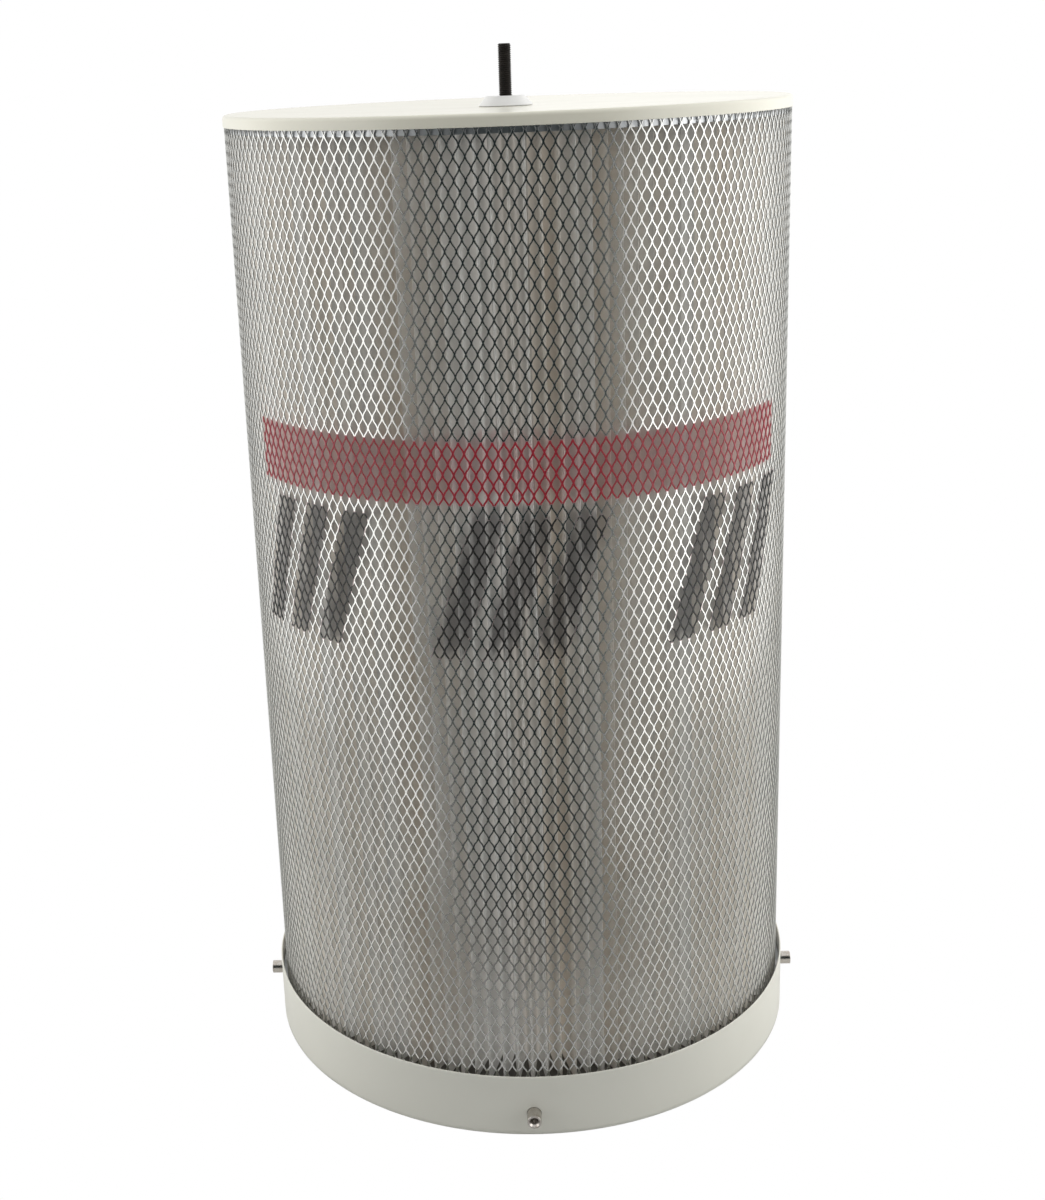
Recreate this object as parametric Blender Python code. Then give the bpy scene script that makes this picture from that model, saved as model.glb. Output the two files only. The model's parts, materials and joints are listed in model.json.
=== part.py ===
"""Canister filter of a workshop dust collector, with its hand-turned pleat cleaner.

Metres, +Z up. The origin is the centre of the base ring's bottom edge. The cleaner turns
without a stop about the vertical axis through the origin.
"""
import math

import bmesh
import bpy
from mathutils import Matrix, Vector

for old_object in list(bpy.data.objects):
    bpy.data.objects.remove(old_object, do_unlink=True)

# ---- driving dimensions ---------------------------------------------------------------
GAP = 0.0003                # between neighbouring pieces
FACETS = 72                 # sides of every large round piece, with a corner on each clamp axis
SHAFT_FACETS = 24           # sides of the shaft and of what sits on it
HARDWARE_FACETS = 12        # sides of screws, bolts, nuts and rivets
MESH_RADIUS = 0.2500        # outside of the expanded metal sleeve
MESH_WALL = 0.0004          # plain tube with the weight of the open sleeve
RING_RADIUS = 0.2552        # outside of the base ring
RING_WALL = 0.0015
RING_HEIGHT = 0.0590
PAN_HEIGHT = 0.0400         # underside of the lower end pan
SHEET = 0.0012              # end pan and end ring
LIP_RADIUS = 0.1920         # inside of the lower pan's inner lip
LOWER_LIP_TOP = 0.0580
CAP_RADIUS = 0.2510
CAP_SHEET = 0.0007
CAP_BOTTOM = 0.8750         # lower edge of the lid's rim
CAP_TOP = 0.8850
CAP_EDGE = 0.0035           # rounding between the lid's rim and its top
CAP_DISH = 0.0022           # how far the lid's centre sinks below its rim
END_RING_TOP = 0.8804
UPPER_LIP_RADIUS = 0.1930
UPPER_LIP_BOTTOM = 0.8700
PLEATS = 120
PLEAT_OUTER = 0.2460
PLEAT_INNER = 0.1980
PLEAT_WALL = 0.0060         # along a radius; the folds are steep, so the sheet is 0.7 mm thick
POTTING_DEPTH = 0.0060
POTTING_OUTER = 0.2484      # clear of the sleeve's inside
GASKET_INNER = 0.2360
GASKET_THICK = 0.0060
RING_EDGE = 0.0004          # small chamfer on the base ring's top

SHAFT_RADIUS = 0.0059
SHAFT_BOTTOM = 0.0410
SHAFT_TOP = 0.9360
SHAFT_BORE = SHAFT_RADIUS + GAP
SHAFT_CHAMFER = 0.0012
SHAFT_NUT = 0.0180          # across the flats of the nuts on the shaft
SHAFT_NUT_HEIGHT = 0.0080
LOCK_NUT_HEIGHT = 0.0100
WASHER_THICK = 0.0015
HUB_BASE_RADIUS = 0.0242
HUB_TOP_RADIUS = 0.0179
HUB_HEIGHT = 0.0084
HUB_EDGE = 0.0006
HUB_FACETS = 32

BRIDGE_TOP = 0.0610         # flat bar across the mouth
BRIDGE_THICK = 0.0030
BRIDGE_HALF_WIDTH = 0.0150
BRIDGE_END = 0.1912         # just inside the pan's inner lip
BRIDGE_TAB_HALF_WIDTH = 0.0120
ARM_THICK = 0.0030
ARM_HALF_WIDTH = 0.0100
ARM_REACH = 0.1840
UPPER_ARM_TOP = 0.8350
LOWER_ARM_BOTTOM = 0.0920
TAB_HEIGHT = 0.0240
TAB_WIDTH = 0.0200
RAIL_THICK = 0.0030
RAIL_WIDTH = 0.0160
RAIL_INNER = 0.1660         # the rail's edge nearest the shaft
RAIL_CLEARANCE = 0.0030     # between a rail's end and the arms
STRIP_INNER = 0.1700
STRIP_REACH = 0.1953        # the flappers' tips, just short of the pleats
STRIP_LOW, STRIP_HIGH = 0.1210, 0.8060
STRIP_THICK = 0.0020
CLAMP_THICK = 0.0018
CLAMP_INNER = 0.1680

BUSH_SLEEVE = 0.0087
BUSH_FLANGE = 0.0150
BUSH_FLANGE_THICK = 0.0030
BUSH_STANDOUT = 0.0005      # of the lower bush's sleeve below the bridge
COLLAR_RADIUS = 0.0120
COLLAR_HEIGHT = 0.0100
RIVET_ROW = (-0.0070, 0.0070)
RIVET_HEIGHT = 0.0510
RIVET_SHANK = 0.0020
RIVET_HEAD = 0.0040
GRUB_SCREW = 0.0021
RAIL_BOLT = 0.0027
RAIL_BOLT_X = ARM_REACH - TAB_WIDTH / 2
RAIL_NUT = 0.0100           # across the flats, of the rail bolts' heads too
RAIL_NUT_HEIGHT = 0.0045
RAIL_BOLT_HEAD = 0.0038
RAIL_BOLT_LENGTH = 0.0130
STRIP_SCREW = 0.0017
STRIP_SCREW_X = 0.1750
STRIP_SCREW_HEAD = 0.0034
STRIP_SCREW_LENGTH = 0.0070
SCORE = 0.0060              # from a screw hole's axis to the score lines round it
OVERCUT = 0.0020            # how far cutters start outside what they cut

BOSS_HEIGHT = 0.0218        # centre of the four clamp bosses
BOSS_RADIUS = 0.0064
BOSS_REACH = 0.0131         # beyond the base ring
BOSS_FLANGE = 0.0090
BOSS_BORE = 0.00335         # M8 core
BOSS_MOUTH = 0.00485
BOSS_FLANGE_THICK = 0.0030
BOSS_START = 0.2499         # inner face of the flange
BOSS_CHAMFER = 0.0006
BOSS_FACETS = 16
RING_CUTTER = 0.0160


# ---- materials ------------------------------------------------------------------------
def finish(name, colour, roughness, metallic=0.0):
    """A Principled material of one colour."""
    material = bpy.data.materials.new(name)
    material.use_nodes = True
    shader = material.node_tree.nodes["Principled BSDF"]
    shader.inputs["Base Color"].default_value = (*colour, 1.0)
    shader.inputs["Roughness"].default_value = roughness
    shader.inputs["Metallic"].default_value = metallic
    return material


CREAM_PAINT = finish("cream_paint", (0.83, 0.82, 0.75), 0.30)
GALVANISED = finish("galvanised_steel", (0.62, 0.63, 0.64), 0.40, 1.0)
MEDIA = finish("spunbond_media", (0.80, 0.78, 0.74), 0.90)
URETHANE = finish("urethane_potting", (0.12, 0.12, 0.12), 0.60)
FOAM = finish("foam_rubber", (0.05, 0.05, 0.05), 0.95)
NYLON = finish("white_nylon", (0.86, 0.86, 0.85), 0.45)
BLACK_OXIDE = finish("black_oxide_steel", (0.03, 0.03, 0.03), 0.40, 1.0)
ZINC = finish("zinc_plated_steel", (0.66, 0.65, 0.61), 0.30, 1.0)
FLAP_PLASTIC = finish("flapper_plastic", (0.10, 0.10, 0.11), 0.55)


# ---- shape tools ----------------------------------------------------------------------
def add(name, bm, material, parent=None, matrix=None):
    """Turn a bmesh into a named object, with its faces pointing out and its sharp edges kept."""
    bmesh.ops.recalc_face_normals(bm, faces=bm.faces)
    mesh = bpy.data.meshes.new(name)
    bm.to_mesh(mesh)
    bm.free()
    mesh.shade_smooth()
    mesh.set_sharp_from_angle(angle=math.radians(35))
    mesh.materials.append(material)
    piece = bpy.data.objects.new(name, mesh)
    bpy.context.collection.objects.link(piece)
    piece.parent = parent
    if matrix is not None:
        piece.matrix_local = matrix
    return piece


def hexagon_radius(across_flats, angle):
    """Distance from a hexagon's centre to its outline, with corners at 0, 60, 120 degrees..."""
    return across_flats / 2 / math.cos(angle % math.radians(60) - math.radians(30))


def turned(profile, facets=FACETS):
    """Solid of revolution about Z. The profile is a closed loop of (radius, height), or open
    between two points on the axis. A third entry, True, makes that ring a hexagon whose
    first entry is half the width across flats."""
    bm = bmesh.new()
    rings = []
    for point in profile:
        radius, height = point[0], point[1]
        hexagonal = len(point) > 2
        if radius == 0:
            rings.append([bm.verts.new((0, 0, height))] * facets)
            continue
        ring = []
        for i in range(facets):
            angle = 2 * math.pi * i / facets
            reach = hexagon_radius(2 * radius, angle) if hexagonal else radius
            ring.append(bm.verts.new((reach * math.cos(angle), reach * math.sin(angle), height)))
        rings.append(ring)
    closed = profile[0][0] > 0
    for k in range(len(rings) if closed else len(rings) - 1):
        low, high = rings[k], rings[(k + 1) % len(rings)]
        for i in range(facets):
            j = (i + 1) % facets
            corners = dict.fromkeys((low[i], low[j], high[j], high[i]))
            bm.faces.new(list(corners))
    return bm


def block(low, high):
    """A rectangular block between two corners."""
    bm = bmesh.new()
    bmesh.ops.create_cube(bm, size=1)
    size = Vector(high) - Vector(low)
    middle = (Vector(high) + Vector(low)) / 2
    place = Matrix.Translation(middle) @ Matrix.Diagonal((*size, 1))
    bmesh.ops.transform(bm, matrix=place, verts=bm.verts)
    return bm


def sliced(bm, heights):
    """Score a block round at some heights, so that each hole gets a face of its own."""
    for height in heights:
        bmesh.ops.bisect_plane(bm, geom=bm.verts[:] + bm.edges[:] + bm.faces[:],
                               plane_co=(0, 0, height), plane_no=(0, 0, 1))
    return bm


def facing(direction, origin):
    """Matrix that puts a piece's own Z along a direction and its origin at a point."""
    turn = Vector(direction).to_track_quat('Z', 'Y').to_matrix().to_4x4()
    return Matrix.Translation(origin) @ turn


def boolean(piece, tool_bm, operation, matrix=None):
    """Join a hidden tool shape to a piece, or cut it out of the piece."""
    tool = add(piece.name + "_tool", tool_bm, piece.data.materials[0], piece.parent, matrix)
    tool.hide_render = True
    tool.display_type = 'WIRE'
    modifier = piece.modifiers.new(operation.lower(), 'BOOLEAN')
    modifier.operation = operation
    modifier.solver = 'EXACT'
    modifier.object = tool


def drill(piece, place, radius, depth, facets=HARDWARE_FACETS):
    """Cut a round hole that runs along the place matrix's own Z, from its origin."""
    plug = turned([(0, 0), (radius, 0), (radius, depth), (0, depth)], facets)
    boolean(piece, plug, 'DIFFERENCE', place)


def tube(name, inner, outer, low, high, material, parent=None, facets=FACETS):
    """A plain ring of rectangular section."""
    profile = [(inner, low), (outer, low), (outer, high), (inner, high)]
    return add(name, turned(profile, facets), material, parent)


def nut(name, across_flats, bore, height, material, matrix, parent=None):
    """Hexagonal nut along its own Z, from 0 to its height."""
    flat = across_flats / 2
    profile = [(bore, 0), (flat, 0, True), (flat, height, True), (bore, height)]
    return add(name, turned(profile, HARDWARE_FACETS), material, parent, matrix)


def bolt(name, across_flats, head, shank, length, material, matrix, parent=None):
    """Hexagon bolt: the head lies below its own Z = 0, the shank above it."""
    flat = across_flats / 2
    profile = [(0, -head), (flat, -head, True), (flat, 0, True),
               (shank, 0), (shank, length), (0, length)]
    return add(name, turned(profile, HARDWARE_FACETS), material, parent, matrix)


# ---- canister -------------------------------------------------------------------------
def base_ring():
    """Painted skirt that slips over the collector's collar, with four holes for the bosses."""
    inner = RING_RADIUS - RING_WALL
    profile = [(inner, 0), (RING_RADIUS, 0), (RING_RADIUS, RING_HEIGHT - RING_EDGE),
               (RING_RADIUS - RING_EDGE, RING_HEIGHT), (inner, RING_HEIGHT)]
    ring = add("base_ring", turned(profile), CREAM_PAINT)
    for direction in clamp_directions().values():
        start = Vector((0, 0, BOSS_HEIGHT)) + direction * (RING_RADIUS - RING_CUTTER / 2)
        drill(ring, facing(direction, start), BOSS_RADIUS + GAP, RING_CUTTER, BOSS_FACETS)


def clamp_directions():
    """The four horizontal axes of the clamp bosses."""
    return {"front": Vector((0, -1, 0)), "right": Vector((1, 0, 0)),
            "back": Vector((0, 1, 0)), "left": Vector((-1, 0, 0))}


def clamp_bosses():
    """Threaded inserts through the ring, each with a flange on the inside."""
    end = RING_RADIUS + BOSS_REACH - BOSS_START
    countersink = end - (BOSS_MOUTH - BOSS_BORE)
    profile = [(BOSS_BORE, 0), (BOSS_FLANGE, 0), (BOSS_FLANGE, BOSS_FLANGE_THICK),
               (BOSS_RADIUS, BOSS_FLANGE_THICK), (BOSS_RADIUS, end - BOSS_CHAMFER),
               (BOSS_RADIUS - BOSS_CHAMFER, end), (BOSS_MOUTH, end), (BOSS_BORE, countersink)]
    for side, direction in clamp_directions().items():
        place = facing(direction, Vector((0, 0, BOSS_HEIGHT)) + direction * BOSS_START)
        add("clamp_boss_" + side, turned(profile, BOSS_FACETS), ZINC, matrix=place)


def lower_end():
    """Pan, foam gasket and potting that close the lower end of the pleats."""
    outer = RING_RADIUS - RING_WALL - GAP
    floor = PAN_HEIGHT + SHEET
    lip = LIP_RADIUS + SHEET
    profile = [(LIP_RADIUS, PAN_HEIGHT), (outer, PAN_HEIGHT), (outer, floor),
               (lip, floor), (lip, LOWER_LIP_TOP), (LIP_RADIUS, LOWER_LIP_TOP)]
    pan = add("lower_end_pan", turned(profile), GALVANISED)
    for side in (-1, 1):
        for y in RIVET_ROW:
            place = facing((side, 0, 0), (side * (LIP_RADIUS - OVERCUT), y, RIVET_HEIGHT))
            drill(pan, place, RIVET_SHANK + GAP, SHEET + 2 * OVERCUT)
    top = PAN_HEIGHT - GAP
    tube("gasket", GASKET_INNER, outer - GAP, top - GASKET_THICK, top, FOAM)
    bed = floor + GAP
    tube("lower_potting", lip + GAP, POTTING_OUTER, bed, bed + POTTING_DEPTH, URETHANE)


def upper_end():
    """Channel ring and potting that close the upper end of the pleats, inside the sleeve."""
    inner = UPPER_LIP_RADIUS
    outer = POTTING_OUTER
    under = END_RING_TOP - SHEET
    bed = under - GAP
    profile = [(inner, UPPER_LIP_BOTTOM), (inner + SHEET, UPPER_LIP_BOTTOM), (inner + SHEET, under),
               (outer - SHEET, under), (outer - SHEET, UPPER_LIP_BOTTOM), (outer, UPPER_LIP_BOTTOM),
               (outer, END_RING_TOP), (inner, END_RING_TOP)]
    add("upper_end_ring", turned(profile), GALVANISED)
    wall = SHEET + GAP
    tube("upper_potting", inner + wall, outer - wall, bed - POTTING_DEPTH, bed, URETHANE)


def pleated_media():
    """One pleated sheet in a closed ring: both skins zigzag between the tips and the valleys."""
    low = PAN_HEIGHT + SHEET + 2 * GAP + POTTING_DEPTH
    high = END_RING_TOP - SHEET - 2 * GAP - POTTING_DEPTH
    bm = bmesh.new()
    rings = []
    for tip, valley, height in ((PLEAT_OUTER, PLEAT_INNER + PLEAT_WALL, low),
                                (PLEAT_OUTER, PLEAT_INNER + PLEAT_WALL, high),
                                (PLEAT_OUTER - PLEAT_WALL, PLEAT_INNER, high),
                                (PLEAT_OUTER - PLEAT_WALL, PLEAT_INNER, low)):
        ring = []
        for i in range(2 * PLEATS):
            angle = math.pi * i / PLEATS
            radius = valley if i % 2 else tip
            ring.append(bm.verts.new((radius * math.cos(angle), radius * math.sin(angle), height)))
        rings.append(ring)
    for k in range(4):
        for i in range(2 * PLEATS):
            j = (i + 1) % (2 * PLEATS)
            after = rings[(k + 1) % 4]
            bm.faces.new((rings[k][i], rings[k][j], after[j], after[i]))
    add("pleated_media", bm, MEDIA)


def outer_mesh():
    """Expanded metal sleeve, as a plain tube from the lower pan to inside the lid's rim."""
    low = PAN_HEIGHT + SHEET + GAP
    tube("outer_mesh", MESH_RADIUS - MESH_WALL, MESH_RADIUS, low, END_RING_TOP, GALVANISED)


def cap_height(radius):
    """Height of the lid's top face, which is dished towards its centre."""
    return CAP_TOP - CAP_DISH * (1 - (radius / (CAP_RADIUS - CAP_EDGE)) ** 2)


def top_cap():
    """Pressed lid: dished top, rounded edge, short rim outside the sleeve, a hole for the bush."""
    hole = BUSH_SLEEVE + GAP
    flat = CAP_RADIUS - CAP_EDGE
    steps = [hole + (flat - hole) * i / 2 for i in range(3)]
    inner_rim = CAP_RADIUS - CAP_SHEET
    profile = [(radius, cap_height(radius) - CAP_SHEET) for radius in steps]
    profile += rounded_edge(flat, CAP_TOP - CAP_EDGE, CAP_EDGE - CAP_SHEET)
    profile += [(inner_rim, CAP_BOTTOM), (CAP_RADIUS, CAP_BOTTOM)]
    profile += reversed(rounded_edge(flat, CAP_TOP - CAP_EDGE, CAP_EDGE))
    profile += [(radius, cap_height(radius)) for radius in reversed(steps)]
    add("top_cap", turned(profile), CREAM_PAINT)


def rounded_edge(centre_radius, centre_height, size):
    """Quarter circle from nearly straight up to straight out, about the edge's own centre."""
    angles = [math.radians(60 - 30 * i) for i in range(3)]
    return [(centre_radius + size * math.cos(a), centre_height + size * math.sin(a)) for a in angles]


def cap_hub():
    """Low cone that guides the shaft on top of the lid, seated on the lid's dished face."""
    foot = cap_height(HUB_BASE_RADIUS) + GAP
    top = foot + HUB_HEIGHT
    profile = [(SHAFT_BORE, foot), (HUB_BASE_RADIUS, foot), (HUB_BASE_RADIUS, foot + HUB_EDGE),
               (HUB_TOP_RADIUS + HUB_EDGE, top - HUB_EDGE / 2), (HUB_TOP_RADIUS, top),
               (SHAFT_BORE, top)]
    add("cap_hub", turned(profile, HUB_FACETS), NYLON)


# ---- shaft bearings -------------------------------------------------------------------
def bush(name, flange_low, flange_high, sleeve_low, sleeve_high):
    """Flanged nylon bush; its sleeve starts from one face of the flange."""
    if sleeve_high > flange_high:
        profile = [(SHAFT_BORE, flange_low), (BUSH_FLANGE, flange_low), (BUSH_FLANGE, flange_high),
                   (BUSH_SLEEVE, flange_high), (BUSH_SLEEVE, sleeve_high), (SHAFT_BORE, sleeve_high)]
    else:
        profile = [(SHAFT_BORE, sleeve_low), (BUSH_SLEEVE, sleeve_low), (BUSH_SLEEVE, flange_low),
                   (BUSH_FLANGE, flange_low), (BUSH_FLANGE, flange_high), (SHAFT_BORE, flange_high)]
    add(name, turned(profile, SHAFT_FACETS), NYLON)


def upper_bushing():
    """Bush under the lid, with its sleeve up through the lid's hole."""
    seat = cap_height(BUSH_FLANGE) - CAP_SHEET - 2 * GAP
    bush("upper_bushing", seat - BUSH_FLANGE_THICK, seat, seat, cap_height(BUSH_SLEEVE) - GAP)
    return seat - BUSH_FLANGE_THICK


def bottom_bridge():
    """Flat bar across the mouth, with a tab down at each end that is riveted to the pan's lip."""
    low = BRIDGE_TOP - BRIDGE_THICK
    corner = Vector((BRIDGE_END, BRIDGE_HALF_WIDTH, 0))
    shape = block(Vector((0, 0, low)) - corner, Vector((0, 0, BRIDGE_TOP)) + corner)
    bar = add("bottom_bridge", shape, GALVANISED)
    width = BRIDGE_TAB_HALF_WIDTH
    tab_low, tab_high = RIVET_HEIGHT - 0.0070, BRIDGE_TOP - BRIDGE_THICK / 3
    for side in (-1, 1):
        inner, outer = sorted((side * BRIDGE_END, side * (BRIDGE_END - BRIDGE_THICK)))
        boolean(bar, block((inner, -width, tab_low), (outer, width, tab_high)), 'UNION')
        for y in RIVET_ROW:
            start = BRIDGE_END - BRIDGE_THICK - OVERCUT
            place = facing((side, 0, 0), (side * start, y, RIVET_HEIGHT))
            drill(bar, place, RIVET_SHANK + GAP, BRIDGE_THICK + 2 * OVERCUT)
    place = Matrix.Translation((0, 0, low - OVERCUT))
    drill(bar, place, BUSH_SLEEVE + GAP, BRIDGE_THICK + 2 * OVERCUT, SHAFT_FACETS)


def bridge_rivets():
    """Blind rivets through the bridge's tabs and the pan's lip."""
    inside = BRIDGE_END - BRIDGE_THICK - GAP
    tail = LIP_RADIUS + SHEET + GAP - inside
    crimp = tail + 0.0020
    profile = [(0, -0.0016), (RIVET_HEAD, -0.0010), (RIVET_HEAD, 0), (RIVET_SHANK, 0),
               (RIVET_SHANK, tail), (0.0031, tail), (0.0025, crimp), (0, crimp)]
    number = 1
    for side in (-1, 1):
        for y in RIVET_ROW:
            place = facing((side, 0, 0), (side * inside, y, RIVET_HEIGHT))
            shape = turned(profile, HARDWARE_FACETS)
            add(f"bridge_rivet_{number}", shape, ZINC, matrix=place)
            number += 1


def lower_bushing():
    """Bush on the bridge, with its sleeve down through the bridge's hole."""
    seat = BRIDGE_TOP + GAP
    sleeve_low = BRIDGE_TOP - BRIDGE_THICK - BUSH_STANDOUT
    bush("lower_bushing", seat, seat + BUSH_FLANGE_THICK, sleeve_low, seat)
    return seat + BUSH_FLANGE_THICK


# ---- pleat cleaner --------------------------------------------------------------------
def agitator_shaft(axis):
    """Round shaft with chamfered ends; its top end is threaded for a crank."""
    tip = SHAFT_RADIUS - SHAFT_CHAMFER
    profile = [(0, SHAFT_BOTTOM), (tip, SHAFT_BOTTOM), (SHAFT_RADIUS, SHAFT_BOTTOM + SHAFT_CHAMFER),
               (SHAFT_RADIUS, SHAFT_TOP - SHAFT_CHAMFER), (tip, SHAFT_TOP), (0, SHAFT_TOP)]
    add("agitator_shaft", turned(profile, SHAFT_FACETS), BLACK_OXIDE, axis)


def shaft_collar(name, low, axis):
    """Set collar on the shaft, with its grub screw."""
    middle = low + COLLAR_HEIGHT / 2
    high = low + COLLAR_HEIGHT
    collar = tube(name + "_collar", SHAFT_BORE, COLLAR_RADIUS, low, high, ZINC, axis, SHAFT_FACETS)
    place = facing((0, 1, 0), (0, SHAFT_RADIUS - OVERCUT, middle))
    drill(collar, place, GRUB_SCREW + GAP, COLLAR_RADIUS)
    start = SHAFT_BORE + GAP
    length = COLLAR_RADIUS - GAP - start
    profile = [(0, 0), (GRUB_SCREW, 0), (GRUB_SCREW, length), (0, length)]
    shape = turned(profile, HARDWARE_FACETS)
    add(name + "_collar_screw", shape, BLACK_OXIDE, axis, facing((0, 1, 0), (0, start, middle)))


def shaft_fasteners(axis, below_bridge):
    """Washer and lock nut on the shaft's lower end."""
    low = below_bridge - WASHER_THICK
    tube("shaft_washer", SHAFT_BORE, COLLAR_RADIUS, low, below_bridge, ZINC, axis, SHAFT_FACETS)
    place = Matrix.Translation((0, 0, low - GAP - LOCK_NUT_HEIGHT))
    nut("shaft_lock_nut", SHAFT_NUT, SHAFT_BORE, LOCK_NUT_HEIGHT, ZINC, place, axis)


def arm(name, bar_low, tab_side, axis):
    """Cross bar on the shaft, with a tab at each end for a rail, up (+1) or down (-1)."""
    bar_high = bar_low + ARM_THICK
    shape = block((-ARM_REACH, -ARM_HALF_WIDTH, bar_low), (ARM_REACH, ARM_HALF_WIDTH, bar_high))
    bar = add(name, shape, GALVANISED, axis)
    middle = bar_low + ARM_THICK / 2
    near = middle - tab_side * ARM_THICK / 6
    low, high = sorted((near, middle + tab_side * (TAB_HEIGHT - ARM_THICK / 2)))
    face = RAIL_THICK / 2 + GAP
    hole = tab_bolt_height(bar_low, tab_side)
    for turn in (1, -1):
        x_low, x_high = sorted((turn * (ARM_REACH - TAB_WIDTH), turn * ARM_REACH))
        y_low, y_high = sorted((-turn * face, -turn * (face + ARM_THICK)))
        boolean(bar, block((x_low, y_low, low), (x_high, y_high, high)), 'UNION')
        start = -turn * (face + ARM_THICK + OVERCUT)
        place = facing((0, turn, 0), (turn * RAIL_BOLT_X, start, hole))
        drill(bar, place, RAIL_BOLT + GAP, ARM_THICK + 2 * OVERCUT)
    place = Matrix.Translation((0, 0, bar_low - OVERCUT))
    drill(bar, place, SHAFT_BORE, ARM_THICK + 2 * OVERCUT, SHAFT_FACETS)
    for label, low in (("above", bar_high + GAP), ("below", bar_low - GAP - SHAFT_NUT_HEIGHT)):
        place = Matrix.Translation((0, 0, low))
        nut(f"{name}_nut_{label}", SHAFT_NUT, SHAFT_BORE, SHAFT_NUT_HEIGHT, ZINC, place, axis)


def tab_bolt_height(bar_low, tab_side):
    """Height of the bolt through an arm's tab."""
    middle = bar_low + ARM_THICK / 2
    return middle + tab_side * (TAB_HEIGHT / 2 + OVERCUT)


def flapper(number, axis):
    """Rail, flexible strip and clamp bar on one end of the arms, with their screws and bolts."""
    turn = Matrix.Rotation(math.pi * (number - 1), 4, 'Z')
    face = RAIL_THICK / 2
    strip_face = face + GAP
    clamp_face = strip_face + STRIP_THICK + GAP
    length = STRIP_HIGH - STRIP_LOW
    screws = [STRIP_LOW + length * (2 * k + 1) / 6 for k in range(3)]
    scores = [height + side * SCORE for height in screws for side in (-1, 1)]
    rail_low = LOWER_ARM_BOTTOM + ARM_THICK + RAIL_CLEARANCE
    rail_high = UPPER_ARM_TOP - ARM_THICK - RAIL_CLEARANCE
    edge = RAIL_INNER + RAIL_WIDTH
    shape = block((RAIL_INNER, -face, rail_low), (edge, face, rail_high))
    shape = sliced(shape, [STRIP_LOW, *scores, STRIP_HIGH])
    rail = add(f"flapper_rail_{number}", shape, GALVANISED, axis, turn)
    corner = (STRIP_REACH, strip_face + STRIP_THICK, STRIP_HIGH)
    shape = sliced(block((STRIP_INNER, strip_face, STRIP_LOW), corner), scores)
    strip = add(f"flapper_strip_{number}", shape, FLAP_PLASTIC, axis, turn)
    corner = (edge, clamp_face + CLAMP_THICK, STRIP_HIGH)
    shape = sliced(block((CLAMP_INNER, clamp_face, STRIP_LOW), corner), scores)
    clamp = add(f"strip_clamp_{number}", shape, GALVANISED, axis, turn)
    for k, height in enumerate(screws):
        for piece in (rail, strip, clamp):
            # the pieces carry the half turn already, and so does each hole
            place = turn @ facing((0, 1, 0), (STRIP_SCREW_X, -face - OVERCUT, height))
            drill(piece, place, STRIP_SCREW + GAP, 0.0160)
        place = turn @ facing((0, -1, 0), (STRIP_SCREW_X, clamp_face + CLAMP_THICK + GAP, height))
        strip_screw(f"strip_screw_{number}_{k + 1}", place, axis)
    ends = (("top", UPPER_ARM_TOP - ARM_THICK, -1), ("bottom", LOWER_ARM_BOTTOM, 1))
    for label, bar_low, tab_side in ends:
        height = tab_bolt_height(bar_low, tab_side)
        place = turn @ facing((0, 1, 0), (RAIL_BOLT_X, -face - OVERCUT, height))
        drill(rail, place, RAIL_BOLT + GAP, RAIL_THICK + 2 * OVERCUT)
        head = -(face + GAP + ARM_THICK + GAP)
        place = turn @ facing((0, 1, 0), (RAIL_BOLT_X, head, height))
        name = f"rail_bolt_{number}_{label}"
        bolt(name, RAIL_NUT, RAIL_BOLT_HEAD, RAIL_BOLT, RAIL_BOLT_LENGTH, ZINC, place, axis)
        place = turn @ facing((0, 1, 0), (RAIL_BOLT_X, face + GAP, height))
        name = f"rail_nut_{number}_{label}"
        nut(name, RAIL_NUT, RAIL_BOLT + GAP, RAIL_NUT_HEIGHT, ZINC, place, axis)


def strip_screw(name, place, axis):
    """Pan-head screw: the head lies below its own Z = 0, the shank above it."""
    crown = STRIP_SCREW_HEAD * 0.6
    profile = [(0, -crown), (STRIP_SCREW_HEAD, -crown * 0.7), (STRIP_SCREW_HEAD, 0),
               (STRIP_SCREW, 0), (STRIP_SCREW, STRIP_SCREW_LENGTH), (0, STRIP_SCREW_LENGTH)]
    add(name, turned(profile, HARDWARE_FACETS), ZINC, axis, place)


def pleat_cleaner(collar_top, collar_low):
    """Everything that turns, parented to an empty on the joint's axis."""
    axis = bpy.data.objects.new("agitator_axis", None)
    bpy.context.collection.objects.link(axis)
    agitator_shaft(axis)
    shaft_collar("upper", collar_top - GAP - COLLAR_HEIGHT, axis)
    shaft_collar("lower", collar_low + GAP, axis)
    shaft_fasteners(axis, BRIDGE_TOP - BRIDGE_THICK - BUSH_STANDOUT - GAP * 2)
    arm("upper_arm", UPPER_ARM_TOP - ARM_THICK, -1, axis)
    arm("lower_arm", LOWER_ARM_BOTTOM, 1, axis)
    flapper(1, axis)
    flapper(2, axis)


def build():
    """Make every piece of the canister and of its pleat cleaner."""
    base_ring()
    clamp_bosses()
    lower_end()
    upper_end()
    pleated_media()
    outer_mesh()
    top_cap()
    cap_hub()
    bottom_bridge()
    bridge_rivets()
    pleat_cleaner(upper_bushing(), lower_bushing())


build()
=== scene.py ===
"""Finished surfaces of a dust collector's canister filter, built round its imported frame.

The open expanded metal sleeve, the folded media, the pressed lid, the base ring, the bosses
and the threaded shaft are new pieces; the parts inside keep their solids and get finishes.
Everything is in metres, +Z up, with the front clamp boss towards -Y.
"""
import json
import logging
import math
from dataclasses import dataclass, field
from enum import Enum
from functools import cache

import bpy
import numpy as np
from mathutils import Matrix, Vector


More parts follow.
